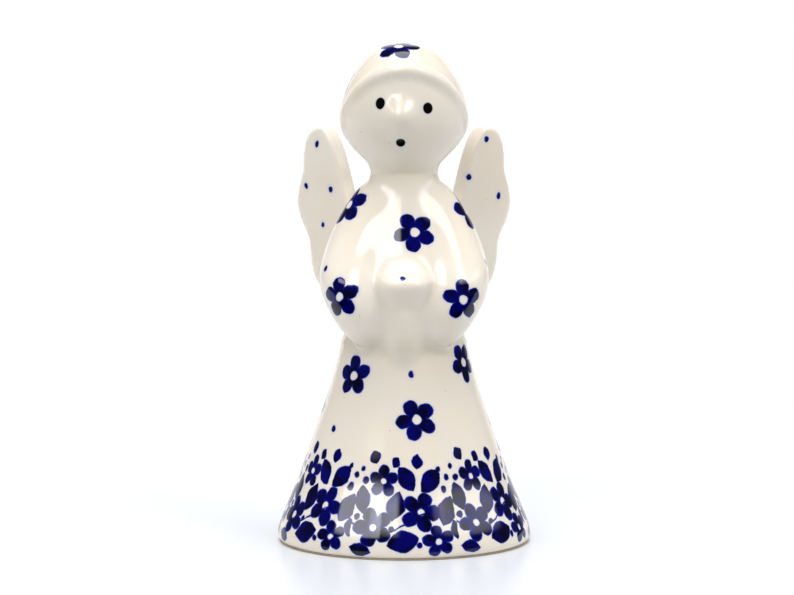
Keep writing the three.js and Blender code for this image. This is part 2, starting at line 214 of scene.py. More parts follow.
# %% [markdown]
# ## The gown
#
# Skirt and torso are the bell that the mould gives. A bell could be built from a cylinder and
# scaled ring by ring, but it is a turned form, so its profile is drawn once and spun. The hem
# stands upright for 2 mm, rolls over into a cone with a slight flare, and the waist has a crease.

# %% Gown
HEM_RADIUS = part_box("skirt")[1].x / MM
GLAZE_EDGE = 0.45
# radius, height
gown_profile = [
    (HEM_RADIUS - 0.35, GLAZE_EDGE), (HEM_RADIUS - 0.05, GLAZE_EDGE + 0.7), (HEM_RADIUS, 2.4),
    (35.25, 4.6), (34.3, 7.2), (32.3, 12.0), (29.5, 18.8), (26.8, 26.4), (23.8, 34.9),
    (21.15, 42.7), (19.15, 49.6), (17.95, 54.6), (17.6, 56.9), (16.9, 58.2), (16.6, 62.4),
    (16.4, 70), (15.9, 80), (15.1, 86.5), (13.4, 93.2), (11.3, 98.7), (9.85, 102), (9.3, 104.6),
]
gown_line = smooth_line(gown_profile, 4)
gown = turned("gown", [(0, gown_line[0][1]), *gown_line, (0, gown_line[-1][1])], 128)

# %% [markdown]
# ## Sleeves and yoke
#
# Each sleeve is a full lobe that hangs from the shoulder, swells to the elbow and swings forward
# to the hands. No two of its sections share a middle, so it can't be spun. It is stacked from
# level sections instead: a circle is extruded upwards, moved and resized at every station. One
# more stack, the yoke, fills the chest and rounds both shoulders up to the neck.

# %% Sleeves and yoke
# height, distance from the middle, y, half width, half depth
sleeve_sections = [
    (56.1, 10.2, -13.8, 0.9, 1.0), (57.0, 10.2, -13.8, 3.1, 3.5), (58.9, 10.5, -13.7, 5.1, 5.7),
    (62.3, 11.0, -13.2, 7.4, 8.2), (66.2, 11.5, -12.3, 9.3, 10.2), (70.3, 12.0, -10.8, 10.7, 11.7),
    (74.5, 12.2, -9.2, 11.4, 12.2), (78.6, 12.0, -7.1, 11.3, 12.3), (83.6, 11.3, -5.0, 10.6, 11.6),
    (90.5, 9.8, -2.8, 9.0, 9.9), (97.4, 8.2, -1.8, 6.3, 7.3), (100.6, 7.8, -1.5, 3.7, 4.4),
    (102.0, 7.7, -1.5, 0.9, 1.0),
]
left_lobe = stacked("left_lobe", sleeve_sections)
right_lobe = stacked("right_lobe", [(z, -x, y, wide, deep) for z, x, y, wide, deep in sleeve_sections])
# height, x, y, half width, half depth, here and in the next step
yoke_sections = [
    (78, 0, -1.5, 16.5, 13.9), (82, 0, -1.5, 18.3, 14.7), (86, 0, -1.5, 17.9, 14.4),
    (90, 0, -1.2, 16.0, 13.5), (94, 0, -1.0, 13.4, 12.2), (98, 0, -0.9, 11.3, 10.9),
    (101.5, 0, -0.9, 10.0, 9.7), (103.6, 0, -0.8, 9.3, 9.1), (105.0, 0, -0.6, 8.7, 8.6),
]
yoke = stacked("yoke", yoke_sections, corners=96)

# %% [markdown]
# ## Arms and hands
#
# In front, the two sleeves run into one another in a bowl-like swelling, and the hands stand out of
# it as a soft block with a ridge on top and a tongue that runs out into the skirt. The bowl is a
# stack of wide sections. The sections of the hands are squarer than an ellipse, so their stack
# starts from a square whose corners are bevelled round, and keeps that outline all the way up.

# %% Arms and hands
bowl_sections = [
    (55.6, 0, -9.0, 7.0, 7.8), (57.0, 0, -9.0, 11.5, 9.3), (59.3, 0, -8.8, 15.2, 10.9),
    (62.6, 0, -8.6, 18.0, 12.1), (66.4, 0, -8.4, 20.2, 13.0), (70.2, 0, -8.2, 21.6, 13.4),
    (73.0, 0, -7.8, 21.6, 13.3), (75.4, 0, -7.2, 20.4, 11.8), (77.4, 0, -6.4, 17.8, 9.4),
    (78.8, 0, -5.6, 14.0, 6.8),
]
arms_bowl = stacked("arms_bowl", bowl_sections, corners=96)
# height, half width, half depth, in the hands and the tongue
hands_sizes = [
    (62.0, 4.6, 6.6), (63.8, 6.2, 8.3), (66.2, 7.2, 9.5), (68.8, 7.9, 10.9), (71.2, 8.4, 12.4),
    (73.4, 8.8, 13.6), (75.3, 9.1, 13.3), (76.7, 9.0, 11.7), (78.0, 8.7, 9.8), (79.7, 8.2, 8.0),
    (82.0, 7.5, 6.3), (84.8, 6.6, 4.9), (88, 5.2, 3.6),
]
tongue_sizes = [
    (50.6, 2.6, 4.7), (53.0, 4.0, 5.3), (55.5, 4.9, 6.3), (58.5, 5.4, 7.2), (62.0, 5.6, 7.9),
    (65.0, 5.5, 8.4), (67.5, 4.8, 8.2),
]
hands_block = stacked("hands_block", [(z, 0, -12, *size) for z, *size in hands_sizes], rounding=0.8)
tongue = stacked("tongue", [(z, 0, -14, *size) for z, *size in tongue_sizes], rounding=0.9)

# %% [markdown]
# ## Head, face and nose
#
# The head is a ball that is rounder across than in depth. A hood closes over it like a cap, and
# its brim arches over the face. The ball of the hood is spun, its front is cut away under the
# brim's arch, and what is left is flattened from front to back. The face isn't round, so it is
# stacked from level sections that carry the chin forward. The snub nose is pulled out of it with
# proportional editing, as with soft clay, first at its bridge and then at its tip.

# %% Hood
HEAD_FLATTENING = 0.953
BRIM_RADIUS = 17.4
BRIM_MIDDLE = 116.4
BRIM_DEPTH = -3
CUTTER_LENGTH = 40
HEAD_FOOT = 103.6
hood_profile = [
    (9.3, HEAD_FOOT), (9.95, 106), (11.75, 108.1), (14.75, 111.3), (17.35, 115.4), (18.05, 119.4),
    (17.0, 124.6), (15.0, 129.7), (12.8, 133.2), (10.1, 136.5), (7.9, 138.2), (4.9, 139.4), (0, 140),
]
hood_ball = turned("hood_ball", [(0, HEAD_FOOT), *smooth_line(hood_profile, 4)], 96)
deselect_all()
bpy.ops.mesh.primitive_cylinder_add(
    vertices=128, radius=BRIM_RADIUS * MM, depth=CUTTER_LENGTH * MM, rotation=(math.pi / 2, 0, 0),
    location=Vector((0, BRIM_DEPTH - CUTTER_LENGTH / 2, BRIM_MIDDLE)) * MM,
)
brim_cutter = settle(bpy.context.object)
apply_modifier(hood_ball, "BOOLEAN", operation="DIFFERENCE", solver="MANIFOLD", object=brim_cutter)
bpy.data.objects.remove(brim_cutter)
open_whole(hood_ball)
bpy.ops.transform.resize(value=(1, HEAD_FLATTENING, 1), center_override=(0, 0, 0))
set_mode("OBJECT")
print("hood, cut open,", len(hood_ball.data.polygons), "faces")

# %% Face
# height, x, y, half width, half depth
face_sections = [
    (HEAD_FOOT, 0, -0.6, 9.1, 8.9), (105, 0, -0.9, 9.5, 9.5), (106.4, 0, -1.0, 10.1, 10.3),
    (108.4, 0, -0.8, 11.9, 11.5), (111.3, 0, -0.4, 14.3, 13.5), (114, 0, 0, 16.2, 14.9),
    (117, 0, 0, 17.1, 15.6), (120, 0, 0, 17.2, 15.8), (123, 0, 0, 16.7, 15.8), (126, 0, 0, 15.8, 15.5),
    (128.5, 0, 0, 14.6, 15.0), (130.5, 0, 0, 13.3, 14.5), (132.5, 0, 0, 11.2, 13.2), (134, 0, 0, 8.0, 10.0),
]
face_ball = stacked("face_ball", face_sections, steps=4, corners=96)


# %% Nose
def pull(piece, place, move, reach):
    """Pulls the skin at a place, and more gently all round it, with proportional editing."""
    pick(piece)
    set_mode("EDIT")
    bpy.ops.mesh.select_all(action="DESELECT")
    set_mode("OBJECT")
    nearest = min(piece.data.vertices, key=lambda v: (v.co - Vector(place) * MM).length)
    nearest.select = True
    set_mode("EDIT")
    bpy.ops.transform.translate(
        value=Vector(move) * MM, use_proportional_edit=True,
        proportional_edit_falloff="SMOOTH", proportional_size=reach * MM,
    )
    set_mode("OBJECT")


pull(face_ball, (-1.4, -15.7, 121.6), (0, -0.9, 0), 6)
pull(face_ball, (-1.4, -15.9, 119.0), (0, -2.3, 0), 7.5)
print("nose stands out to", round(min(v.co.y for v in face_ball.data.vertices) / MM, 1), "mm")

# %% [markdown]
# ## The brim
#
# The brim of the hood is a soft roll that is thickest over the brow and dies away at the cheeks. A
# bent cylinder would have one thickness all along. So its line is drawn over the brow, a Skin
# modifier gives each point of the line its own radius, and a Subdivision Surface rounds the roll.


# %% Brim
def rolled(name, places):
    """A roll of clay along a line of (x, y, z, radius)."""
    roll = settle(draw_line(name, [place[:3] for place in places]))
    roll.modifiers.new("skin", "SKIN")
    for point, place in zip(roll.data.skin_vertices[0].data, places):
        point.radius = (place[3] * MM, place[3] * MM)
    pick(roll)
    bpy.ops.object.modifier_apply(modifier="skin")
    apply_modifier(roll, "SUBSURF", levels=2, render_levels=2)
    return close_skin(roll)


# x, y, z and radius, from the middle of the brow to the cheek
half_brim = [
    (0, -12.4, 132.7, 2.9), (4.4, -11.9, 132.0, 2.8), (8.3, -10.5, 130.1, 2.6), (11.8, -8.4, 127.3, 2.3),
    (14.4, -6.2, 124.0, 1.9), (16.0, -4.2, 120.2, 1.4), (16.6, -2.6, 116.4, 0.8),
]
brim_places = [(-x, y, z, radius) for x, y, z, radius in reversed(half_brim[1:])] + half_brim
brim_roll = rolled("brim_roll", smooth_line(brim_places, 2))

# %% [markdown]
# ## Wings
#
# A wing is pressed from a slab of clay with three scalloped feathers on its outer edge. Its outline
# is drawn in its own plane, filled, thickened by an extrusion and bevelled all round. Then it is
# turned by its sweep and set on the back. The other wing is its mirror image.

# %% Wings
WING_THICKNESS = 5.5
WING_BEVEL = 2.2
WING_SWEEP = math.radians(38)
WING_ROOT = Vector((5, 13, WAIST + 9))
# distance from the root line, height above the wing's foot
wing_outline = [
    (-4, 2.0), (1.2, 2.0), (6.2, 0.7), (12.3, 0.0), (17.9, 0.7), (22.6, 3.4), (25.1, 7.4), (26.0, 11.6),
    (26.2, 15.3), (27.4, 18.6), (29.4, 22.0), (30.6, 25.6), (30.8, 29.0), (29.9, 32.6), (28.8, 35.8),
    (28.6, 38.9), (28.3, 42.3), (27.2, 46.2), (25.0, 48.5), (22.5, 49.2), (20.1, 47.9), (17.3, 43.5),
    (14.9, 36.9), (12.9, 30.5), (9.6, 25.1), (4.9, 21.6), (-4, 20.4),
]


def set_on_back(piece, side):
    """Moves a piece from the wing's own plane to the back. Side 1 is left, -1 its mirror image."""
    piece.data.transform(Matrix.Translation(WING_ROOT * MM) @ Matrix.Rotation(WING_SWEEP, 4, "Z"))
    if side < 0:
        piece.data.transform(Matrix.Scale(-1, 4, (1, 0, 0)))


def wing_slab(name, side):
    """One wing: a slab whose two flat sides have bevelled edges."""
    rim = [(x, -WING_THICKNESS / 2, z) for x, z in smooth_line(wing_outline, 2)]
    slab = settle(draw_line(name, rim))
    open_whole(slab)
    bpy.ops.mesh.edge_face_add()
    bpy.ops.mesh.extrude_region_move(TRANSFORM_OT_translate={"value": (0, WING_THICKNESS * MM, 0)})
    bpy.ops.mesh.select_all(action="SELECT")
    bpy.ops.mesh.normals_make_consistent(inside=False)
    set_mode("OBJECT")
    for face in slab.data.polygons:
        face.select = abs(face.normal.y) > 0.9
    for edge in slab.data.edges:
        edge.select = False
    set_mode("EDIT")
    bpy.ops.mesh.bevel(offset=WING_BEVEL * MM, segments=5, affect="EDGES", clamp_overlap=True)
    set_mode("OBJECT")
    set_on_back(slab, side)
    return close_skin(slab)


wing_slabs = [wing_slab("left_slab", 1), wing_slab("right_slab", -1)]

# %% [markdown]
# ## Fusing the clay
#
# In the mould all of this is one skin. A Boolean union would leave sharp inner corners and long
# thin faces, so the forms are joined and remeshed into one even grid of voxels instead. That grid
# is then fine enough to soften as a liquid glaze does.

# %% One skin
VOXEL = 0.45
forms = [
    gown, left_lobe, right_lobe, yoke, arms_bowl, hands_block, tongue, hood_ball, face_ball, brim_roll,
    *wing_slabs,
]
deselect_all()
for form in forms:
    form.select_set(True)
bpy.context.view_layer.objects.active = gown
bpy.ops.object.join()
skin = gown
skin.name = "skin"
apply_modifier(skin, "REMESH", mode="VOXEL", voxel_size=VOXEL * MM, adaptivity=0)
print("skin:", len(skin.data.vertices), "points")

# %% [markdown]
# ## Softening the creases
#
# Glaze pools in a crease and rounds it, and leaves the outward curves as they are. So the hollow
# places are found first: a point lies in a crease where its neighbours stand out above it. That
# mark is spread a few millimetres each way, and a Smooth modifier then works only where it is.
# Chest and nose are soft all over in the real casting, so they are smoothed with no regard to
# creases, and at the end a few rounds even out the whole skin.

# %% Finding the creases
BLUR_ROUNDS = 3
FADE = 0.995


def neighbour_mean(values, edges, count):
    """Each point's mean over the points that an edge joins it to."""
    total = np.zeros((count, values.shape[1]))
    np.add.at(total, edges[:, 0], values[edges[:, 1]])
    np.add.at(total, edges[:, 1], values[edges[:, 0]])
    shares = np.bincount(edges.ravel(), minlength=count)
    return total / np.maximum(shares, 1)[:, None]


def mesh_arrays(piece):
    """The places and normals of a piece's points, and the two points of each edge."""
    count = len(piece.data.vertices)
    places = np.empty(count * 3)
    normals = np.empty(count * 3)
    edges = np.empty(len(piece.data.edges) * 2, dtype=np.int64)
    piece.data.vertices.foreach_get("co", places)
    piece.data.vertex_normals.foreach_get("vector", normals)
    piece.data.edges.foreach_get("vertices", edges)
    return places.reshape(-1, 3), normals.reshape(-1, 3), edges.reshape(-1, 2)


def crease_weights(piece, depth, spread):
    """How much each point lies in or near a crease, from 0 to 1, and its place in millimetres."""
    places, normals, edges = mesh_arrays(piece)
    count = len(places)
    blurred = places
    for _ in range(BLUR_ROUNDS):
        blurred = neighbour_mean(blurred, edges, count)
    hollow = np.einsum("ij,ij->i", blurred - places, normals) / MM
    weight = np.clip(hollow / depth, 0, 1)[:, None]
    for _ in range(spread):
        weight = np.maximum(weight, neighbour_mean(weight, edges, count) * FADE)
    return weight[:, 0], places / MM


hollow, at = crease_weights(skin, depth=0.05, spread=14)
print("points in creases:", int((hollow > 0.5).sum()))

# %% Softening
WEIGHT_LEVELS = 20
NOSE_TIP = (-1.4, -16.8, 119.5)


def ramp(values, start, width):
    """From 0 at the start to 1 a width further on. A negative width runs the other way."""
    return np.clip((values - start) / width, 0, 1)


def soften(piece, name, weight, rounds):
    """Smooths a piece for some rounds, at each point as much as its weight says."""
    group = piece.vertex_groups.new(name=name)
    levels = np.round(np.clip(weight, 0, 1) * WEIGHT_LEVELS).astype(int)
    for level in range(1, WEIGHT_LEVELS + 1):
        group.add(np.nonzero(levels == level)[0].tolist(), level / WEIGHT_LEVELS, "REPLACE")
    apply_modifier(piece, "SMOOTH", factor=1.0, iterations=rounds, vertex_group=name)


# millimetres: x to the figurine's left, y to its back and z upwards
x, y, z = at.T
on_wing = y > 8
by_waist = (z < WAIST + 5) & ((np.abs(x) > 13) | (y > -8))
on_head = z > NECK + 4
by_neck = (z > NECK - 4) & ~on_head
elsewhere = ~(on_wing | by_waist | by_neck | on_head)
chest = ramp(z, 78, 5) * ramp(z, 104, -4) * ramp(y, -4, -4)
nose = ramp(np.linalg.norm(at - NOSE_TIP, axis=1), 11, -4)
# name, weight of each point, rounds
soft_places = [
    ("slight", hollow * (on_wing | by_waist), 25), ("neck", hollow * by_neck, 8),
    ("deep", hollow * elsewhere, 50), ("brow", hollow * (on_head & ~on_wing), 30),
    ("chest", chest, 240), ("nose", nose, 22), ("even", np.ones(len(at)), 6),
]
for name, weight, rounds in soft_places:
    soften(skin, name, weight, rounds)
print("softened in", len(soft_places), "steps")

# %% [markdown]
# ## The hollow
#
# A slip casting is hollow: the clay that settles on the plaster is about 4 mm thick, and the rest
# is poured out again through the hem. The hollow is spun from its own profile, and cut out of
# every piece it passes through. Its walls are never seen closely, so it has fewer steps.

# %% Hollow
WALL = 4
hollow_profile = [
    (0, -1), (HEM_RADIUS - WALL, -1), (HEM_RADIUS - WALL, 2.2), (29.9, 8), (25.7, 18.6), (22.6, 26.4),
    (19.6, 34.9), (17.1, 42.7), (15.2, 49.6), (13.7, 57), (12.9, 62.4), (12.4, 70), (11.9, 80),
    (9.4, 93.2), (7.3, 98.7), (5.3, 104.3), (5.9, 106), (7.6, 108.1), (10.5, 111.3), (13, 115.2),
    (13.5, 118), (11.9, 124), (8.3, 129.4), (3.3, 133.5), (0, 133.5),
]
hollow_form = turned("hollow_form", hollow_profile, 72)

# %% [markdown]
# ## Cutting the casting into its pieces
#
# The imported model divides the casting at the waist, the neck and the wings' roots, and so does this
# step. Each piece could be modelled alone, but a skin cut by plain blocks gives neighbours the very
# same edge. That edge would still catch the light, because a point on it sees faces on one side
# only, so each piece takes its normals from the whole skin before the cut.

# %% Blocks to cut with
REACH = 60
BELOW = -1
ABOVE = 150


def block(name, low, high):
    """A plain block between two corners."""
    deselect_all()
    bpy.ops.mesh.primitive_cube_add(size=1)
    made = bpy.context.object
    made.name = name
    made.scale = Vector(b - a for a, b in zip(low, high)) * MM
    made.location = Vector((a + b) / 2 for a, b in zip(low, high)) * MM
    return settle(made)


below_waist = block("below_waist", (-REACH, -REACH, BELOW), (REACH, REACH, WAIST))
at_torso = block("at_torso", (-REACH, -REACH, WAIST), (REACH, REACH, NECK))
above_neck = block("above_neck", (-REACH, -REACH, NECK), (REACH, REACH, ABOVE))
wing_blocks = [block(name, (7, -8, -6), (REACH, 8, 60)) for name in ("left_wing_block", "right_wing_block")]
set_on_back(wing_blocks[0], 1)
set_on_back(wing_blocks[1], -1)
# A mirrored block is inside out.
wing_blocks[1].data.flip_normals()
print("cut at", round(WAIST, 1), "and", round(NECK, 1), "mm, and at the wings' roots")

# %% Pieces
NORMAL_REACH = 0.2


def cut_piece(name, keep, leave_out, replaced):
    """The part of the skin inside one block, without what is left out."""
    pick(skin)
    bpy.ops.object.duplicate()
    piece = bpy.context.object
    piece.name = name
    piece.vertex_groups.clear()
    apply_modifier(piece, "BOOLEAN", operation="INTERSECT", solver="MANIFOLD", object=keep)
    for other in leave_out:
        apply_modifier(piece, "BOOLEAN", operation="DIFFERENCE", solver="MANIFOLD", object=other)
    bpy.ops.object.shade_smooth()
    # The walls of the hollow are out of reach of the skin and keep their own normals.
    apply_modifier(
        piece, "DATA_TRANSFER", object=skin, use_loop_data=True, data_types_loops={"CUSTOM_NORMAL"},
        loop_mapping="POLYINTERP_NEAREST", use_max_distance=True, max_distance=NORMAL_REACH * MM,
    )
    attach(piece, "root")
    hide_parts(*replaced)
    print(name, len(piece.data.polygons), "faces")
    return piece


pick(skin)
bpy.ops.object.shade_smooth()
skirt = cut_piece("skirt_glazed", below_waist, [hollow_form], ["skirt"])
torso = cut_piece(
    "torso_with_arms", at_torso, [hollow_form, *wing_blocks],
    ["torso", "left_sleeve", "right_sleeve", "hands"])
head = cut_piece(
    "head_in_hood", above_neck, [hollow_form, *wing_blocks],
    ["hood", "face", "left_eye", "right_eye", "mouth"])
left_wing = cut_piece("left_wing_glazed", wing_blocks[0], [], ["left_wing"])
right_wing = cut_piece("right_wing_glazed", wing_blocks[1], [], ["right_wing"])
for scrap in (skin, hollow_form, below_waist, at_torso, above_neck, *wing_blocks):
    bpy.data.objects.remove(scrap)

# %% [markdown]
# ## The bare rim
#
# Before the firing the glaze is wiped off the rim that stands on the kiln shelf. What is left is a
# thin ring of bare, buff clay, a little narrower than the glazed hem. It is spun like the gown.

# %% Bare rim
RIM_OUTER = HEM_RADIUS - 0.4
RIM_INNER = HEM_RADIUS - WALL
rim_profile = [
    (RIM_INNER, 0.25), (RIM_INNER + 0.25, 0), (RIM_OUTER - 0.35, 0), (RIM_OUTER - 0.1, 0.12),
    (RIM_OUTER, 0.35), (RIM_OUTER, GLAZE_EDGE), (RIM_INNER, GLAZE_EDGE), (RIM_INNER, 0.25),
]
rim = turned("bare_rim", rim_profile, 160)
pick(rim)
bpy.ops.object.shade_smooth_by_angle(angle=math.radians(35))
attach(rim, "root")
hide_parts("foot_ring")

# %% [markdown]
# ## Stage and light
#
# The figurine stands in a white light tent. Glaze is like a mirror, so the shape and place of each
# softbox matter as much as its strength. Area lamps would do. Here each softbox is a soft-edged
# patch painted into the world, a row of angles that can be set from the highlight it makes.
#
# One small function adds every node. A Map Range node takes a value, the range that it comes from
# and the range that it goes to, which is 0 to 1 where none is given. A Mix node has sockets for each
# kind of value: 0 is its share, 2 and 3 are its two numbers, and 6 and 7 its two colours.


# %% Colour and node helpers
EASED = {"interpolation_type": "SMOOTHSTEP"}


def linear(hex_colour, alpha=1.0):
    """An sRGB hex colour as the linear values that Blender's sockets take."""
    channels = [int(hex_colour[i:i + 2], 16) / 255 for i in (1, 3, 5)]
    return (*[c / 12.92 if c <= 0.04045 else ((c + 0.055) / 1.055) ** 2.4 for c in channels], alpha)


def add(tree, kind, inputs=(), **settings):
    """Adds a node, sets it and links or sets its inputs. Its kind is given without ShaderNode, with
    its operation after it, and its inputs are in the order of its sockets, or with their names or
    numbers. A node given as an input stands for its first output in use."""
    kind, _, operation = kind.partition(" ")
    made = tree.nodes.new(kind if kind.startswith("NodeGroup") else "ShaderNode" + kind)
    if operation:
        made.operation = operation
    for key, value in settings.items():
        setattr(made, key, value)
    for key, value in inputs.items() if isinstance(inputs, dict) else enumerate(inputs):
        if isinstance(value, bpy.types.Node):
            value = next(socket for socket in value.outputs if socket.enabled)
        if isinstance(value, bpy.types.NodeSocket):
            tree.links.new(value, made.inputs[key])
        else:
            made.inputs[key].default_value = value
    return made


def empty_tree(owner):
    """The node tree of a material or a world, cleared of the nodes that it starts with."""
    owner.use_nodes = True
    owner.node_tree.nodes.clear()
    return owner.node_tree


def coat(piece, material):
    """Gives a piece one material and takes away what it had."""
    piece.data.materials.clear()
    piece.data.materials.append(material)


def mirrored_rays(tree, rays):
    """1 for rays that a glossy or a clear surface sends on, else 0."""
    return add(tree, "Math MAXIMUM", [rays["Is Glossy Ray"], rays["Is Transmission Ray"]])


def angle_from_front(tree, axes):
    """The angle about the upright axis, 0 at the figurine's front."""
    front = add(tree, "Math MULTIPLY", [axes["Y"], -1.0])
    return add(tree, "Math ARCTAN2", [axes["X"], front])


# %% [markdown]
# ## The floor
#
# The floor is a sheet of white acrylic: cool, pale, with a dull sheen that holds a soft shadow. A
# curved backdrop could carry it on to white. Here the sheet glows further out instead, for the
# camera and for mirror rays. In front of the figurine it is dark to mirror rays and dim to those
# that light the glaze from below, as a dark card would be, because a bright floor there would wash
# out the face and the stamps.

# %% Floor
# metres from the middle, metres along y, and how much of the card unseen rays find
GLOW_FROM, GLOW_FULL = 0.10, 0.30
CARD_FROM, CARD_FULL = -0.03, -0.085
CARD_SHARE = 0.32
deselect_all()
bpy.ops.mesh.primitive_plane_add(size=6, location=(0, 0, 0))
floor = bpy.context.object
floor.name = "floor"
acrylic = bpy.data.materials.new("white_acrylic_sheet")
tree = empty_tree(acrylic)
here = add(tree, "TexCoord").outputs["Object"]
away = add(tree, "VectorMath LENGTH", [here]).outputs["Value"]
far = add(tree, "MapRange", [away, GLOW_FROM, GLOW_FULL], **EASED)
front = add(tree, "SeparateXYZ", [here]).outputs["Y"]
front = add(tree, "MapRange", [front, CARD_FROM, CARD_FULL], **EASED)
rays = add(tree, "LightPath").outputs
unseen = add(tree, "Mix", {0: rays["Is Camera Ray"], 2: CARD_SHARE, 3: 0.0})
dim = add(tree, "Math MULTIPLY", [front, unseen])
white = add(tree, "Mix", {0: dim, 6: linear("#D2D5DA"), 7: linear("#3A3C40")}, data_type="RGBA")
sheet = add(tree, "BsdfPrincipled", {"Base Color": white, "Roughness": 0.32, "IOR": 1.49})
mirrored = mirrored_rays(tree, rays)
dark = add(tree, "Math MULTIPLY", [front, mirrored])
light = add(tree, "Math SUBTRACT", [1.0, dark])
glow = add(tree, "Emission", {"Color": linear("#FFFFFF"), "Strength": light})
seen = add(tree, "Math MAXIMUM", [rays["Is Camera Ray"], mirrored])
share = add(tree, "Math MULTIPLY", [far, seen])
share = add(tree, "Math MAXIMUM", [share, dark])
both = add(tree, "MixShader", [share, sheet, glow])
add(tree, "OutputMaterial", {"Surface": both})
coat(floor, acrylic)
print("floor glows from", GLOW_FROM, "to", GLOW_FULL, "m away")

# %% [markdown]
# ## The tent
#
# The tent's cloth is bright behind the figurine and overhead, and dim on the camera's side, which
# keeps the cobalt deep. The glaze sees the backdrop white, as the camera does. Of the four
# softboxes two are broad and high and two are long and low, and their edges fade over some degrees.

# %% Tent
SIDES_DIM = 0.12
SIDES_IN_GLAZE = 0.06
ROOF_STRENGTH = 5.0
# degrees from the camera's side, degrees up, half width, half height and soft edge in degrees, slope,
# strength
softboxes = [
    (-49, 31.5, 24, 3.5, 3, 0.1, 5.8), (-22, 46, 15, 12, 6, 0, 6.3), (74, 29, 34, 4.5, 4, -0.2, 2.3),
    (49, 46, 15, 11, 9, 0, 5.6),
]
world = bpy.data.worlds.new("light_tent")
bpy.context.scene.world = world
tree = empty_tree(world)
direction = add(tree, "TexCoord").outputs["Generated"]
axes = add(tree, "SeparateXYZ", [direction]).outputs
rays = add(tree, "LightPath").outputs
sides = add(tree, "MapRange", [axes["Y"], -0.35, 0.45, SIDES_DIM, 1.0], **EASED)
roof = add(tree, "MapRange", [axes["Z"], 0.9, 0.97, 0.0, ROOF_STRENGTH], **EASED)
sides = add(tree, "Mix", {0: rays["Is Glossy Ray"], 2: sides, 3: SIDES_IN_GLAZE})
tent = add(tree, "Math ADD", [sides, roof])
backdrop = add(tree, "MapRange", [axes["Y"], 0.72, 0.94], **EASED)
backdrop = add(tree, "Math MULTIPLY", [mirrored_rays(tree, rays), backdrop])
tent = add(tree, "Mix", {0: backdrop, 2: tent, 3: 1.0})
turn = angle_from_front(tree, axes)
rise = add(tree, "Math ARCSINE", [axes["Z"]])
for azimuth, elevation, half_width, half_height, soft, slope, strength in softboxes:
    sideways = add(tree, "Math SUBTRACT", [turn, math.radians(azimuth)])
    upwards = add(tree, "Math SUBTRACT", [rise, math.radians(elevation)])
    upwards = add(tree, "Math MULTIPLY_ADD", [sideways, -slope, upwards])
    patch = strength
    for aside, half in ((sideways, half_width), (upwards, half_height)):
        aside = add(tree, "Math ABSOLUTE", [aside])
        outer, inner = math.radians(half + soft / 2), math.radians(half - soft / 2)
        within = add(tree, "MapRange", [aside, outer, inner], **EASED)
        patch = add(tree, "Math MULTIPLY", [patch, within])
    tent = add(tree, "Math ADD", [tent, patch])
strength = add(tree, "Mix", {0: rays["Is Camera Ray"], 2: tent, 3: 1.0})
sky = add(tree, "Background", {"Color": linear("#FFFFFF"), "Strength": strength})
add(tree, "OutputWorld", {"Surface": sky})
bpy.context.scene.view_settings.view_transform = "Standard"
print("light tent with", len(softboxes), "softboxes")

# %% [markdown]
# ## Drawing a motif as a distance
#
# The decoration is stamped in cobalt under the glaze. A picture of it could be painted on a UV map,
# but a stamp is simple enough to be worked out. Each motif is a node group that gives the distance
# in millimetres from a point to the motif's edge, below zero inside it. Motifs are then joined by
# taking the least distance, and one field of distances gives the ink, its dark heart and its halo.


# %% Groups for motifs
def new_group(name, numbers):
    """A node group from a place in millimetres, and some numbers, to a distance in millimetres."""
    group = bpy.data.node_groups.new(name, "ShaderNodeTree")
    group.interface.new_socket("Place", in_out="INPUT", socket_type="NodeSocketVector")
    for number in numbers:
        group.interface.new_socket(number, in_out="INPUT", socket_type="NodeSocketFloat")
    group.interface.new_socket("Distance", in_out="OUTPUT", socket_type="NodeSocketFloat")
    given = add(group, "NodeGroupInput").outputs
    return group, given, add(group, "SeparateXYZ", [given["Place"]]).outputs


def length_of(tree, x, y):
    """How long a flat arrow is that goes so far along x and y."""
    arrow = add(tree, "CombineXYZ", [x, y])
    return add(tree, "VectorMath LENGTH", [arrow]).outputs["Value"]


def near_skin(tree, inked, axes, reach):
    """Keeps a motif to the skin it is pressed on, or it would come out on the far side too."""
    deep = add(tree, "Math ABSOLUTE", [axes["Z"]])
    deep = add(tree, "Math SUBTRACT", [deep, reach])
    return add(tree, "Math MAXIMUM", [inked, deep])


# %% Five-petalled flower
PETALS = 5
# millimetres on a flower of size 1, which is 10 mm across
PETAL_PLACE = 3.0
PETAL_LENGTH = 2.05
PETAL_WIDTH = 1.84
FLOWER_HEART = 2.6
FLOWER_REACH = 3.5
half_turn = math.pi / PETALS
flower_group, given, axes = new_group("five_petalled_flower", ["Size", "Eye"])
tree = flower_group
radius = length_of(tree, axes["X"], axes["Y"])
radius = add(tree, "Math DIVIDE", [radius, given["Size"]])
angle = add(tree, "Math ARCTAN2", [axes["X"], axes["Y"]])
angle = add(tree, "Math WRAP", [angle, half_turn, -half_turn])
across = add(tree, "Math SINE", [angle])
across = add(tree, "Math MULTIPLY", [across, radius])
across = add(tree, "Math DIVIDE", [across, PETAL_WIDTH])
along = add(tree, "Math COSINE", [angle])
along = add(tree, "Math MULTIPLY_ADD", [along, radius, -PETAL_PLACE])
along = add(tree, "Math DIVIDE", [along, PETAL_LENGTH])
petal = length_of(tree, across, along)
petal = add(tree, "Math MULTIPLY_ADD", [petal, PETAL_WIDTH, -PETAL_WIDTH])
heart = add(tree, "Math SUBTRACT", [radius, FLOWER_HEART])
eye = add(tree, "Math SUBTRACT", [given["Eye"], radius])
inked = petal
for sum_kind, number in (("MINIMUM", heart), ("MAXIMUM", eye), ("MULTIPLY", given["Size"])):
    inked = add(tree, "Math " + sum_kind, [inked, number])
add(tree, "NodeGroupOutput", [near_skin(tree, inked, axes, FLOWER_REACH)])
print("flower:", len(tree.nodes), "nodes")

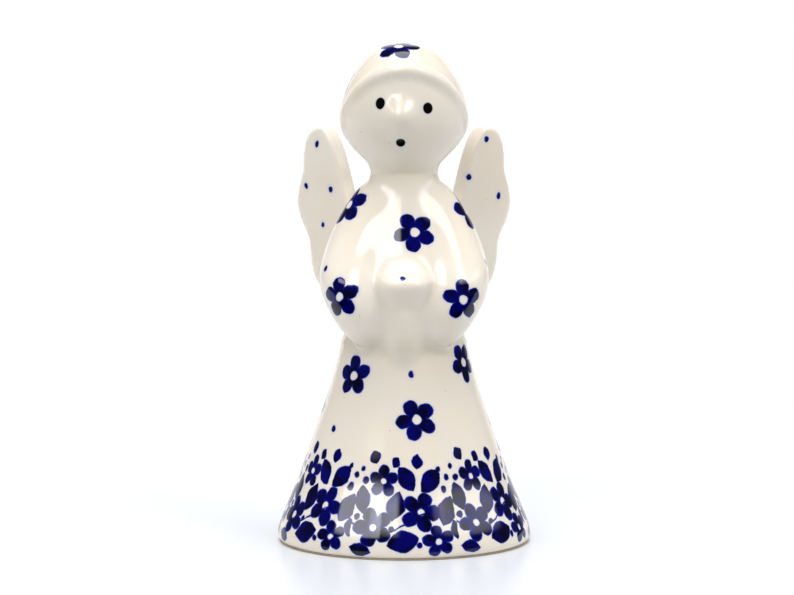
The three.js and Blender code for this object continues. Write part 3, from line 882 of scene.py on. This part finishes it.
# %% Dot
DOT_REACH = 2.0
dot_group, given, axes = new_group("dot", ["Half width", "Half height", "Thickest"])
tree = dot_group
wide = add(tree, "Math DIVIDE", [axes["X"], given["Half width"]])
tall = add(tree, "Math DIVIDE", [axes["Y"], given["Half height"]])
oval = length_of(tree, wide, tall)
oval = add(tree, "Math SUBTRACT", [oval, 1.0])
oval = add(tree, "Math MULTIPLY", [oval, given["Half width"]])
oval = add(tree, "Math MAXIMUM", [oval, given["Thickest"]])
add(tree, "NodeGroupOutput", [near_skin(tree, oval, axes, DOT_REACH)])
print("dot:", len(tree.nodes), "nodes")

# %% Leaf
leaf_group, given, axes = new_group("leaf", ["Half length", "Half width"])
tree = leaf_group
along = add(tree, "Math DIVIDE", [axes["X"], given["Half length"]])
curve = add(tree, "Math MULTIPLY", [along, along])
aside = add(tree, "Math ABSOLUTE", [axes["Y"]])
blade = aside
wide = given["Half width"]
for sum_kind, number in (("DIVIDE", wide), ("ADD", curve), ("SUBTRACT", 1.0), ("MULTIPLY", wide)):
    blade = add(tree, "Math " + sum_kind, [blade, number])
add(tree, "NodeGroupOutput", [blade])
print("leaf:", len(tree.nodes), "nodes")

# %% [markdown]
# ## Where the stamps go
#
# The decorator holds the figurine in one hand and stamps with the other. Each stamp is placed the
# same way here: from a side of the figurine, so far to the right of its middle and so high. A ray
# from there finds the glaze, and the stamp is turned to lie flat on it. A few on the front follow
# the photograph. The rest carry the same scatter on round the back, which it doesn't show.

# %% Placing a stamp
RAY_START = 100


def stamp_on(piece, place, turn):
    """Where a stamp is pressed on the skin of a piece, as the settings of a Mapping node."""
    facing, sideways, height = place
    facing = math.radians(facing)
    towards = Vector((math.sin(facing), -math.cos(facing), 0))
    right = Vector((math.cos(facing), math.sin(facing), 0))
    start = (towards * RAY_START + right * sideways + Vector((0, 0, height))) * MM
    hit, spot, normal, _ = piece.ray_cast(start, -towards)
    if not hit:
        raise ValueError(f"the stamp at {place} misses {piece.name}")
    up = (Vector((0, 0, 1)) - normal * normal.z).normalized()
    lying = Matrix((up.cross(normal), up, normal)).transposed() @ Matrix.Rotation(math.radians(turn), 3, "Z")
    return {"Location": spot, "Rotation": lying.to_euler(), "Scale": (MM, MM, MM)}


def pressed(tree, where, setting, group, numbers):
    """One motif, carried to its place by a Mapping node."""
    place = add(tree, "Mapping", {"Vector": where, **setting}, vector_type="TEXTURE")
    return add(tree, "Group", {"Place": place, **numbers}, node_tree=group)


# %% Flowers and dots
# side in degrees, millimetres to the right, height, turn in degrees, size
skirt_flowers = [
    (-44, -0.65, 48.3, 5, 1.15), (62, 0.2, 51.3, 176, 1.14), (8, 0.2, 37.1, 168, 1.18),
    (112, 0, 37.5, 20, 1.15), (160, 0, 49.5, 150, 1.13), (-142, 0, 50, 30, 1.15),
    (-96, 0, 38.5, 190, 1.17), (-165, 0, 35.5, 60, 1.15),
]
torso_flowers = [
    (0, 2.8, 88.3, 172, 1.17), (-32, -4.3, 70.9, 10, 1.12), (20, 8.0, 70.2, 0, 1.13),
    (-74, 0.6, 95.1, 20, 1.22), (84, -0.9, 92.9, 205, 1.22), (180, 0, 94, 10, 1.1),
    (102, 0, 73, 40, 1.12), (-106, 0, 72, 150, 1.12),
]
head_flowers = [
    (0, -1.6, 139.25, 0, 1.17), (-100, 0, 128.5, 30, 1.12), (-105, 0, 116.5, 190, 1.1),
    (100, 2, 131, 60, 1.1), (110, 0, 116, 10, 1.12), (180, 0, 126, 170, 1.14),
    (-152, 0, 114, 40, 1.12), (158, 0, 113, 80, 1.12),
]
# side in degrees, millimetres to the right, height, half width, half height
skirt_dots = [
    (5.1, 0, 49.2, 0.85, 0.95), (-54, 0, 33.45, 1.0, 1.05), (84, 0, 33.5, 0.85, 0.9),
    (-90, 0, 50, 0.8, 0.85), (112, 0, 50, 0.85, 0.85), (140, 0, 34, 0.8, 0.85),
    (-138, 0, 35.5, 0.85, 0.85), (-175, 0, 47.5, 0.8, 0.85),
]
torso_dots = [
    (0, -0.4, 76.4, 0.85, 0.85), (-57, -0.5, 78.2, 0.8, 1.0), (72, -1.7, 79.4, 0.85, 1.0),
    (180, 0, 62, 0.85, 0.85), (140, 0, 64, 0.8, 0.85), (-140, 0, 65, 0.8, 0.85),
    (118, 0, 86, 0.8, 0.8), (-118, 0, 84, 0.8, 0.8),
]
head_dots = [(180, 0, 136, 0.85, 0.85), (135, 0, 125, 0.85, 0.85), (-135, 0, 124.5, 0.85, 0.85)]
eyes_and_mouth = [
    (0, -6.6, 123.9, 1.45, 1.66), (0, 6.5, 122.6, 1.45, 1.58), (0, -1.0, 113.1, 1.3, 1.3),
]
right_wing_dots = [
    (-38, -35.3, 110.2, 0.75, 1.0), (-38, -39.1, 98.0, 0.7, 0.95), (-38, -30.1, 97.4, 0.75, 0.9),
    (-38, -33.0, 87.2, 0.65, 0.85), (142, 34.5, 108, 0.8, 0.9), (142, 38.5, 97, 0.8, 0.85),
    (142, 31.0, 90, 0.8, 0.85), (142, 29.5, 101, 0.75, 0.85), (142, 34.0, 80, 0.75, 0.85),
]
left_wing_dots = [
    (38, 33.4, 111.7, 0.85, 1.0), (38, 26.9, 101.1, 0.8, 0.9), (38, 37.9, 95.2, 0.8, 1.0),
    (-142, -34.5, 107, 0.8, 0.9), (-142, -38.0, 95.5, 0.8, 0.85), (-142, -30.5, 91, 0.8, 0.85),
    (-142, -30.0, 101.5, 0.75, 0.85), (-142, -34.5, 81, 0.75, 0.85),
]
print("flowers:", len(skirt_flowers) + len(torso_flowers) + len(head_flowers))

# %% [markdown]
# ## The garland round the hem
#
# A dense garland of flowers, leaves, buds and berries runs round the hem, as on much folk pottery.
# It is one drawing, stamped seven times round the skirt. The angle round the skirt is folded into
# seven equal cells, and each cell is moved a little, because a hand doesn't stamp evenly.

# %% Motifs of the garland
# millimetres to the right and up in the cell, turn in degrees, size
garland_flowers = [(-8.1, 8.8, 20, 1.06), (4.4, 12.9, 50, 1.1), (8.5, 5.2, 10, 0.85), (-6.2, 21.0, 0, 0.9)]
# millimetres to the right and up, turn in degrees, half length, half width
garland_leaves = [
    (-0.4, 5.2, 16, 4.2, 3.0), (-2.4, 14.4, 76, 4.0, 2.7), (11.7, 13.0, 66, 4.2, 2.8),
    (-11.9, 16.0, 100, 3.9, 2.4), (0.6, 21.6, 124, 4.0, 2.5), (7.8, 21.0, 44, 4.1, 2.7),
    (-11.0, 2.8, 165, 2.9, 1.8), (13.3, 8.0, 95, 2.5, 1.5), (-9.4, 27.2, 115, 1.9, 1.9),
    (4.1, 26.1, 80, 2.1, 1.9), (-2.6, 26.0, 60, 1.6, 1.6),
]
# millimetres to the right and up, radius
garland_berries = [
    (-11.7, 21.0, 1.0), (-13.0, 24.1, 0.8), (3.6, 4.3, 0.85), (11.6, 18.7, 1.0), (12.9, 21.8, 0.85),
    (-3.2, 8.6, 0.8), (-12.7, 11.4, 0.9), (10.6, 24.0, 0.75),
]
GARLAND_EYE = 0.85
garland_motifs = [
    (x, y, turn, flower_group, {"Size": size, "Eye": GARLAND_EYE}) for x, y, turn, size in garland_flowers]
garland_motifs += [
    (x, y, turn, leaf_group, {"Half length": half, "Half width": wide})
    for x, y, turn, half, wide in garland_leaves]
garland_motifs += [
    (x, y, 0, dot_group, {"Half width": radius, "Half height": radius * 1.1, "Thickest": -radius})
    for x, y, radius in garland_berries]
print("motifs in a garland cell:", len(garland_motifs))

# %% Garland
REPEATS = 7
HALF_CELL = math.pi / REPEATS
UNROLLED_RADIUS = 31
CELL_SHIFT = 1.2
STEM_HEIGHT = 9.8
STEM_WAVE = 2.8
STEM_HALF_WIDTH = 0.32
# A cone within the skirt's wall, radius at the floor in millimetres and slope, keeps the garland off
# the wall of the hollow.
CONE_RADIUS = 34.5
CONE_SLOPE = -0.39


def garland_field(tree, where):
    """Distance in millimetres to the nearest edge of the garland."""
    axes = add(tree, "SeparateXYZ", [where]).outputs
    angle = angle_from_front(tree, axes)
    cell = add(tree, "Math MULTIPLY_ADD", [angle, 0.5 / HALF_CELL, 0.5])
    cell = add(tree, "Math FLOOR", [cell])
    chance = add(tree, "TexWhiteNoise", {"W": cell}, noise_dimensions="1D").outputs["Value"]
    folded = add(tree, "Math WRAP", [angle, HALF_CELL, -HALF_CELL])
    aside = add(tree, "Math MULTIPLY", [folded, UNROLLED_RADIUS])
    height = add(tree, "Math MULTIPLY_ADD", [axes["Z"], 1 / MM, -CELL_SHIFT / 2])
    height = add(tree, "Math MULTIPLY_ADD", [chance, CELL_SHIFT, height])
    cell_place = add(tree, "CombineXYZ", [aside, height])
    wave = add(tree, "Math MULTIPLY", [folded, REPEATS])
    wave = add(tree, "Math SINE", [wave])
    stem = add(tree, "Math MULTIPLY_ADD", [wave, STEM_WAVE, STEM_HEIGHT])
    stem = add(tree, "Math SUBTRACT", [stem, height])
    stem = add(tree, "Math ABSOLUTE", [stem])
    nearest = add(tree, "Math SUBTRACT", [stem, STEM_HALF_WIDTH])
    for x, y, turn, group, numbers in garland_motifs:
        setting = {"Location": (x, y, 0), "Rotation": (0, 0, math.radians(turn))}
        motif = pressed(tree, cell_place, setting, group, numbers)
        nearest = add(tree, "Math MINIMUM", [nearest, motif])
    across = length_of(tree, axes["X"], axes["Y"])
    cone = add(tree, "Math MULTIPLY_ADD", [axes["Z"], CONE_SLOPE, CONE_RADIUS * MM])
    inner = add(tree, "Math SUBTRACT", [cone, across])
    inner = add(tree, "Math MULTIPLY", [inner, 1 / MM])
    return add(tree, "Math MAXIMUM", [nearest, inner])


# %% [markdown]
# ## Clear glaze over stamped stoneware
#
# The clay is a cast stoneware that fires to a warm cream. The cobalt is pressed on before the
# glaze, so it lies under glass: it is nearly black where it is thick, it thins to blue at its edges
# and it bleeds a pale halo into the clay. The glaze is a smooth glass that runs a little, so its
# highlights are sharp with wavy edges. A band round the waist and the neck is painted warmer and
# darker: partly the glaze that pools in these creases, and partly painted shade. A painted
# picture could show all this, but noise and distances stay sharp at any size.

# %% Colours of the glaze
CREAM = "#EFE7DA"
# Painted shade: the light of the scene makes skirt and head paler than the real ones, so their cream is
# painted a little darker.
SKIRT_SHADED_CREAM = "#E5DDD0"
HEAD_SHADED_CREAM = "#E9E1D4"
WARM_CREAM = "#E9DDCB"
# A warmer, darker cream for the creases at waist and neck: partly pooled glaze, partly painted shade.
POOLED_GLAZE_AND_SHADE = "#E0D6C0"
SPECK = "#8F7452"
HALO = "#C6CEDC"
WASH = "#16268A"
COBALT = "#00005A"
MIDNIGHT = "#000022"
PAINTED_BLACK = "#030304"
print("the ink goes from", WASH, "at its edge to", MIDNIGHT)

# %% Stamps on one piece
# widths in millimetres
WANDER_WIDTH, WANDER = 3, 1.1
FLOWER_EYE = 1.1
THINNEST_DOT = -0.3
NO_INK = 9.0


def stamped(tree, piece, here, flowers, dots, garland):
    """Distance in millimetres to the nearest edge of the cobalt stamps on one piece. The outline of
    a stamp wanders by a few tenths of a millimetre over every 3 mm."""
    wander = add(tree, "TexNoise", {
        "Vector": here, "Scale": 1 / (WANDER_WIDTH * MM), "Detail": 2.0}).outputs["Color"]
    wander = add(tree, "VectorMath SUBTRACT", [wander, (0.5, 0.5, 0.5)])
    wander = add(tree, "VectorMath SCALE", {0: wander, "Scale": WANDER * MM})
    where = add(tree, "VectorMath ADD", [here, wander])
    inked = garland_field(tree, where) if garland else NO_INK
    motifs = [
        (place, turn, flower_group, {"Size": size, "Eye": FLOWER_EYE}) for *place, turn, size in flowers]
    motifs += [
        (place, 0, dot_group, {"Half width": wide, "Half height": tall, "Thickest": THINNEST_DOT})
        for *place, wide, tall in dots]
    for place, turn, group, numbers in motifs:
        motif = pressed(tree, where, stamp_on(piece, place, turn), group, numbers)
        inked = add(tree, "Math MINIMUM", [inked, motif])
    return inked


# %% Clay
CLOUD_WIDTH = 16
# Where the band at the creases fades and where it is full, in millimetres: partly pooled glaze, partly
# painted shade.
POOL_AND_SHADE_FADES, POOL_AND_SHADE_FULL = 4.5, 0.5
SPECK_SPACING = 4
SPECK_RARITY = 0.84
# Each fade goes from where it begins to where it is full, in millimetres outwards from a motif's edge.
HALO_FADE = (0.9, 0.05)


def washed(tree, colour, washes):
    """Lays washes over a colour, each given as the share that it covers and its tint."""
    for share, tint in washes:
        colour = add(tree, "Mix", {0: share, 6: colour, 7: linear(tint)}, data_type="RGBA")
    return colour


def clay_colour(tree, here, inked, pooling_and_shade, cream):
    """The clay: slow clouds of a warmer cream, a band at the waist and the neck painted warmer and
    darker, partly for pooled glaze and partly as painted shade, a few iron specks and the halo of the
    stamps."""
    cloud = add(tree, "TexNoise", {"Vector": here, "Scale": 1 / (CLOUD_WIDTH * MM), "Detail": 3.0})
    cloud = add(tree, "MapRange", [cloud, 0.35, 0.7, 0.0, 0.7])
    washes = [(cloud, WARM_CREAM)]
    height = add(tree, "SeparateXYZ", [here]).outputs["Z"]
    # Partly painted shade: the creases at waist and neck get a warmer, darker band, which also stands for
    # the glaze that pools there.
    for crease in (WAIST, NECK + 1):
        aside = add(tree, "Math SUBTRACT", [height, crease * MM])
        aside = add(tree, "Math ABSOLUTE", [aside])
        pooled_glaze_and_shade = add(tree, "MapRange", [aside, POOL_AND_SHADE_FADES * MM, POOL_AND_SHADE_FULL * MM, 0.0, pooling_and_shade], **EASED)
        washes.append((pooled_glaze_and_shade, POOLED_GLAZE_AND_SHADE))
    grains = add(tree, "TexVoronoi", {"Vector": here, "Scale": 1 / (SPECK_SPACING * MM)}).outputs
    small = add(tree, "MapRange", [grains["Distance"], 0.055, 0.02, 0.0, 0.7])
    few = add(tree, "SeparateXYZ", [grains["Color"]])
    few = add(tree, "Math GREATER_THAN", [few, SPECK_RARITY])
    speck = add(tree, "Math MULTIPLY", [small, few])
    halo = add(tree, "MapRange", [inked, *HALO_FADE, 0.0, 0.4], **EASED)
    return washed(tree, linear(cream), [*washes, (speck, SPECK), (halo, HALO)])


# %% Ink
LOAD_WIDTH = 4
COVER_FADE, HEART_FADE = (0.1, -0.14), (-0.05, -0.55)


def inked_over(tree, here, inked, clay):
    """The ink on the clay: blue at the edge and in thin patches, nearly black within."""
    load = add(tree, "TexNoise", {"Vector": here, "Scale": 1 / (LOAD_WIDTH * MM), "Detail": 2.0})
    load = add(tree, "MapRange", [load, 0.36, 0.62], **EASED)
    heart = add(tree, "MapRange", [inked, *HEART_FADE], **EASED)
    thick = add(tree, "Math MULTIPLY", [heart, load])
    ink = washed(tree, linear(WASH), [(heart, COBALT), (thick, MIDNIGHT)])
    cover = add(tree, "MapRange", [inked, *COVER_FADE], **EASED)
    return add(tree, "Mix", {0: cover, 6: clay, 7: ink}, data_type="RGBA")


# %% Eyes and mouth
PAINT_HALO_FADE, PAINT_COVER_FADE = (0.6, 0.0), (0.1, -0.12)


def painted_over(tree, piece, here, colour, painted):
    """The eyes and the mouth, painted in black with steadier edges than a stamp has."""
    for *place, wide, tall in painted:
        numbers = {"Half width": wide, "Half height": tall, "Thickest": -wide}
        oval = pressed(tree, here, stamp_on(piece, place, 0), dot_group, numbers)
        halo = add(tree, "MapRange", [oval, *PAINT_HALO_FADE, 0.0, 0.45], **EASED)
        cover = add(tree, "MapRange", [oval, *PAINT_COVER_FADE], **EASED)
        colour = washed(tree, colour, [(halo, HALO), (cover, PAINTED_BLACK)])
    return colour


# %% Glaze
# The runs of the glaze are a centimetre wide and a few hundredths of a millimetre high.
RUN_WIDTH, RUN_HEIGHT = 11, 0.03


def glazed(name, piece, flowers=(), dots=(), painted=(), garland=False, pooling_and_shade=0.5, cream=CREAM):
    """Cream stoneware with its cobalt stamps under a clear glaze, for one piece."""
    material = bpy.data.materials.new(name)
    tree = empty_tree(material)
    here = add(tree, "TexCoord").outputs["Object"]
    inked = stamped(tree, piece, here, flowers, dots, garland)
    clay = clay_colour(tree, here, inked, pooling_and_shade, cream)
    colour = inked_over(tree, here, inked, clay)
    colour = painted_over(tree, piece, here, colour, painted)
    runs = add(tree, "TexNoise", {"Vector": here, "Scale": 1 / (RUN_WIDTH * MM), "Detail": 1.0})
    relief = add(tree, "Bump", {"Height": runs, "Strength": 1.0, "Distance": RUN_HEIGHT * MM})
    sheen = add(tree, "MapRange", [runs, 0.3, 0.7, 0.035, 0.07])
    glass = add(tree, "BsdfPrincipled", {
        "Base Color": colour, "Roughness": sheen, "IOR": 1.5, "Normal": relief})
    add(tree, "OutputMaterial", {"Surface": glass})
    coat(piece, material)
    print(name, len(tree.nodes), "nodes")


# %% Glaze on each piece
# All five are one shiny, glassy glaze. They differ in their stamps, and skirt and head have painted shade in
# their cream.
glazed("clear_glaze_over_garland_stamps", skirt, skirt_flowers, skirt_dots, garland=True, cream=SKIRT_SHADED_CREAM)
glazed("clear_glaze_over_flower_stamps", torso, torso_flowers, torso_dots)
glazed("clear_glaze_over_painted_face", head, head_flowers, head_dots, eyes_and_mouth, cream=HEAD_SHADED_CREAM)
glazed("clear_glaze_over_dots_left", left_wing, dots=left_wing_dots, pooling_and_shade=0.0)
glazed("clear_glaze_over_dots_right", right_wing, dots=right_wing_dots, pooling_and_shade=0.0)

# %% [markdown]
# ## Bare stoneware
#
# The rim that stood on the kiln shelf has no glaze. It is buff and matt, and its grain is fine grog
# about a third of a millimetre wide, which a touch can feel and the eye sees as a dull, dry line.
# A flat colour would look like plastic, so one noise gives both the two buffs and the grain.

# %% Bare clay
GROG_WIDTH = 0.35
GROG_HEIGHT = 0.04
bare = bpy.data.materials.new("bare_buff_stoneware")
tree = empty_tree(bare)
here = add(tree, "TexCoord").outputs["Object"]
grog = add(tree, "TexNoise", {"Vector": here, "Scale": 1 / (GROG_WIDTH * MM), "Detail": 3.0})
colour = add(tree, "Mix", {0: grog, 6: linear("#A0866B"), 7: linear("#CDBBA4")}, data_type="RGBA")
grain = add(tree, "Bump", {"Height": grog, "Strength": 1.0, "Distance": GROG_HEIGHT * MM})
clay = add(tree, "BsdfPrincipled", {
    "Base Color": colour, "Roughness": 0.85, "IOR": 1.5, "Normal": grain})
add(tree, "OutputMaterial", {"Surface": clay})
coat(rim, bare)
print("bare clay with grog", GROG_WIDTH, "mm wide")
